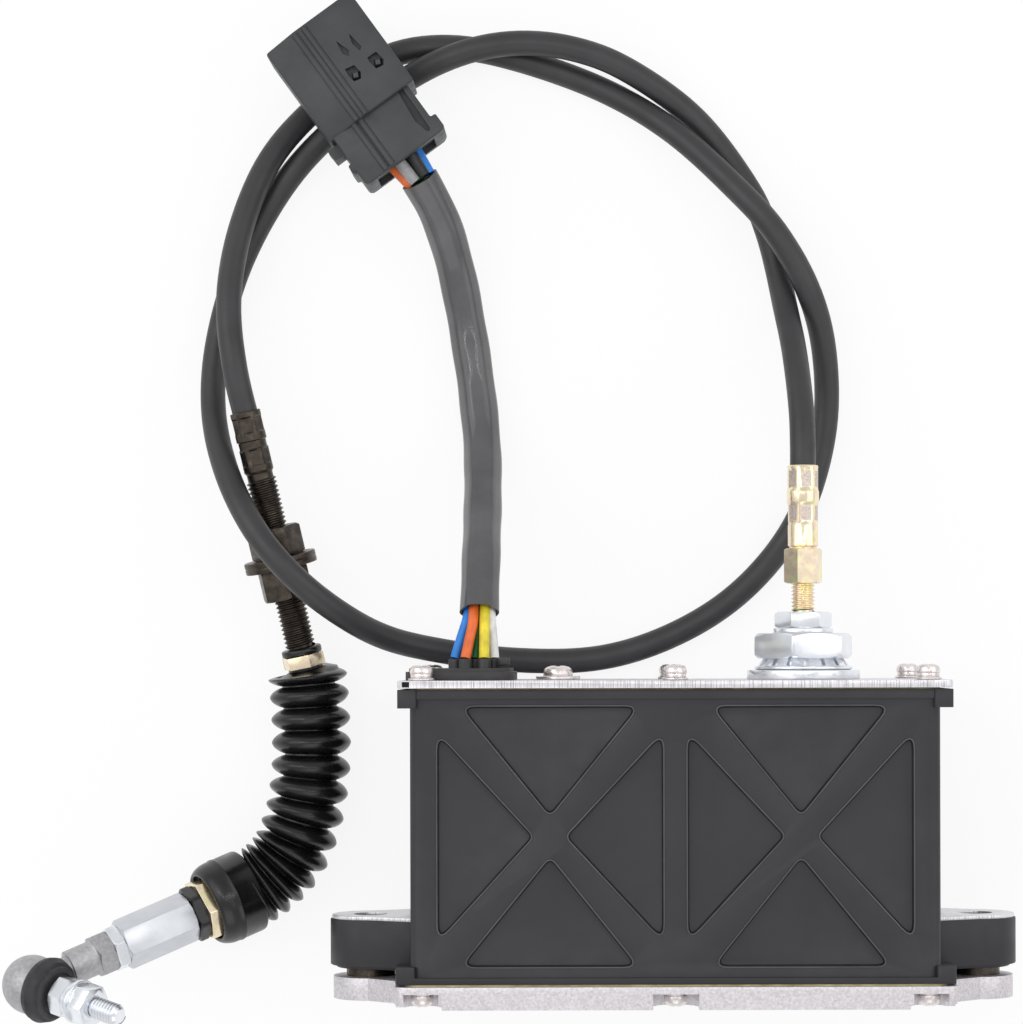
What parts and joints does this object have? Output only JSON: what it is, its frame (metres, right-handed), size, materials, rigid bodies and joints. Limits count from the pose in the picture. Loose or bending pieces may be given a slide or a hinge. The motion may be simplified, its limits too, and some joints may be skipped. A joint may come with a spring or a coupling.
{
  "type": "throttle motor",
  "caption": "Sealed gear motor case with mounting ears, a coiled push-pull cable ending in a booted ball rod end, and a wire lead with a plug.",
  "frame": {"origin": "middle of the motor case's footprint as it lies on its back, on the supporting surface; the cable, its fittings and the wire lead are left out of the footprint", "axes": "+X along the case, from the wire lead's side to the gland's side; +Y from the base plate to the cable gland; +Z out of the ribbed face, up from the table"},
  "size_m": [0.2731, 0.2789, 0.065],
  "materials": {
    "case_plastic": "satin moulded black",
    "lid_aluminium": "sheared sheet, satin",
    "cast_aluminium": "grainy cast",
    "zinc": "bright zinc plate",
    "yellow_zinc": "iridescent yellow zinc plate",
    "dark_steel": "oiled dark steel",
    "rod_grey": "blasted grey steel",
    "rubber_black": "glossy moulded rubber",
    "cable_cover": "satin extruded cover",
    "sleeve_grey": "soft grey PVC",
    "plug_plastic": "moulded dark grey",
    "gasket_paper": "pale gasket",
    "ins_blue": "wire insulation",
    "ins_orange": "wire insulation",
    "ins_green": "wire insulation",
    "ins_yellow": "wire insulation",
    "ins_white": "wire insulation",
    "ins_grey": "wire insulation",
    "ins_black": "wire insulation",
    "gear_plastic": "moulded gear",
    "tin": "tinned pin"
  },
  "bodies": {
    "unit": {"housing": "case_plastic", "lid_plate": "lid_aluminium", "lid_gasket": "gasket_paper", "base_plate": "cast_aluminium", "base_gasket": "gasket_paper", "lid_screws": "zinc", "lid_lock_washers": "zinc", "lid_flat_washers": "zinc", "base_screws": "zinc", "base_lock_washers": "zinc", "clip_screw": "zinc", "clip_washer": "zinc", "wire_grommet": "rubber_black", "grommet_plug": "rubber_black", "mount_blocks": "case_plastic", "mount_caps": "lid_aluminium", "mount_sleeves": "dark_steel", "gland_body": "zinc", "gland_washer": "zinc", "gland_tooth_washer": "zinc", "gland_nut": "zinc", "gland_seal_washer": "zinc", "cable_lock_nut": "zinc", "cable_ferrule": "yellow_zinc", "control_cable": "cable_cover", "end_sleeve": "dark_steel", "bracket_nuts": "dark_steel", "bracket_washers": "dark_steel", "boot_clamp_upper": "yellow_zinc", "boot": "rubber_black", "harness_sleeve": "sleeve_grey", "wire_blue": "ins_blue", "wire_orange": "ins_orange", "wire_green": "ins_green", "wire_yellow": "ins_yellow", "wire_white": "ins_white", "wire_grey": "ins_grey", "wire_black": "ins_black", "connector_body": "plug_plastic", "connector_cover": "plug_plastic", "connector_pins": "tin", "gear_motor": "zinc", "idler_pin": "zinc", "gear_plate": "lid_aluminium", "position_sensor": "plug_plastic", "inner_wire": "zinc"},
    "drum": {"drum_gear": "gear_plastic"},
    "idler": {"idler_gear": "gear_plastic"},
    "pinion": {"motor_pinion": "zinc"},
    "slider": {"boot_clamp_lower": "yellow_zinc", "hex_coupling": "zinc", "jam_nut": "zinc", "rod_end": "rod_grey"},
    "cover": {"dust_cover": "rubber_black"},
    "ring": {"neck_ring": "zinc"},
    "stud": {"ball_stud": "zinc", "stud_lock_washer": "zinc", "stud_flat_washer": "zinc", "stud_nut": "zinc"}
  },
  "joints": [
    {"name": "drum_turn", "type": "hinge", "parent": "unit", "child": "drum", "pos_m": [0.0175, -0.005, 0.0325], "axis": [0, 0, 1], "range_deg": [-15, 75]},
    {"name": "idler_turn", "type": "hinge", "parent": "unit", "child": "idler", "pos_m": [-0.02553, 0.00816, 0.0325], "axis": [0, 0, 1], "range_deg": [-155, 35]},
    {"name": "pinion_turn", "type": "hinge", "parent": "unit", "child": "pinion", "pos_m": [-0.04221, -0.00911, 0.0325], "axis": [0, 0, 1], "range_deg": [-55, 255]},
    {"name": "rod_slide", "type": "slide", "parent": "unit", "child": "slider", "axis": [-0.8286, -0.3483, 0.4384], "range_m": [-0.005, 0.0245], "deforming": ["boot"]},
    {"name": "ball_tilt_a", "type": "hinge", "parent": "slider", "child": "cover", "pos_m": [-0.1723, -0.0477, 0.04], "axis": [0.2419, 0.9703, 0], "range_deg": [-7, 7], "deforming": ["dust_cover"]},
    {"name": "ball_tilt_b", "type": "hinge", "parent": "cover", "child": "ring", "pos_m": [-0.1723, -0.0477, 0.04], "axis": [-0.5142, 0.1282, 0.848], "range_deg": [-7, 7]},
    {"name": "stud_spin", "type": "hinge", "parent": "ring", "child": "stud", "pos_m": [-0.1723, -0.0477, 0.04], "axis": [0.8229, -0.2052, 0.5299], "continuous": true}
  ],
  "couplings": [
    {"joint": "idler_turn", "follows": "drum_turn", "ratio": -2},
    {"joint": "pinion_turn", "follows": "drum_turn", "ratio": 3.3333},
    {"joint": "rod_slide", "follows": "drum_turn", "m_per_rad": 0.018}
  ]
}
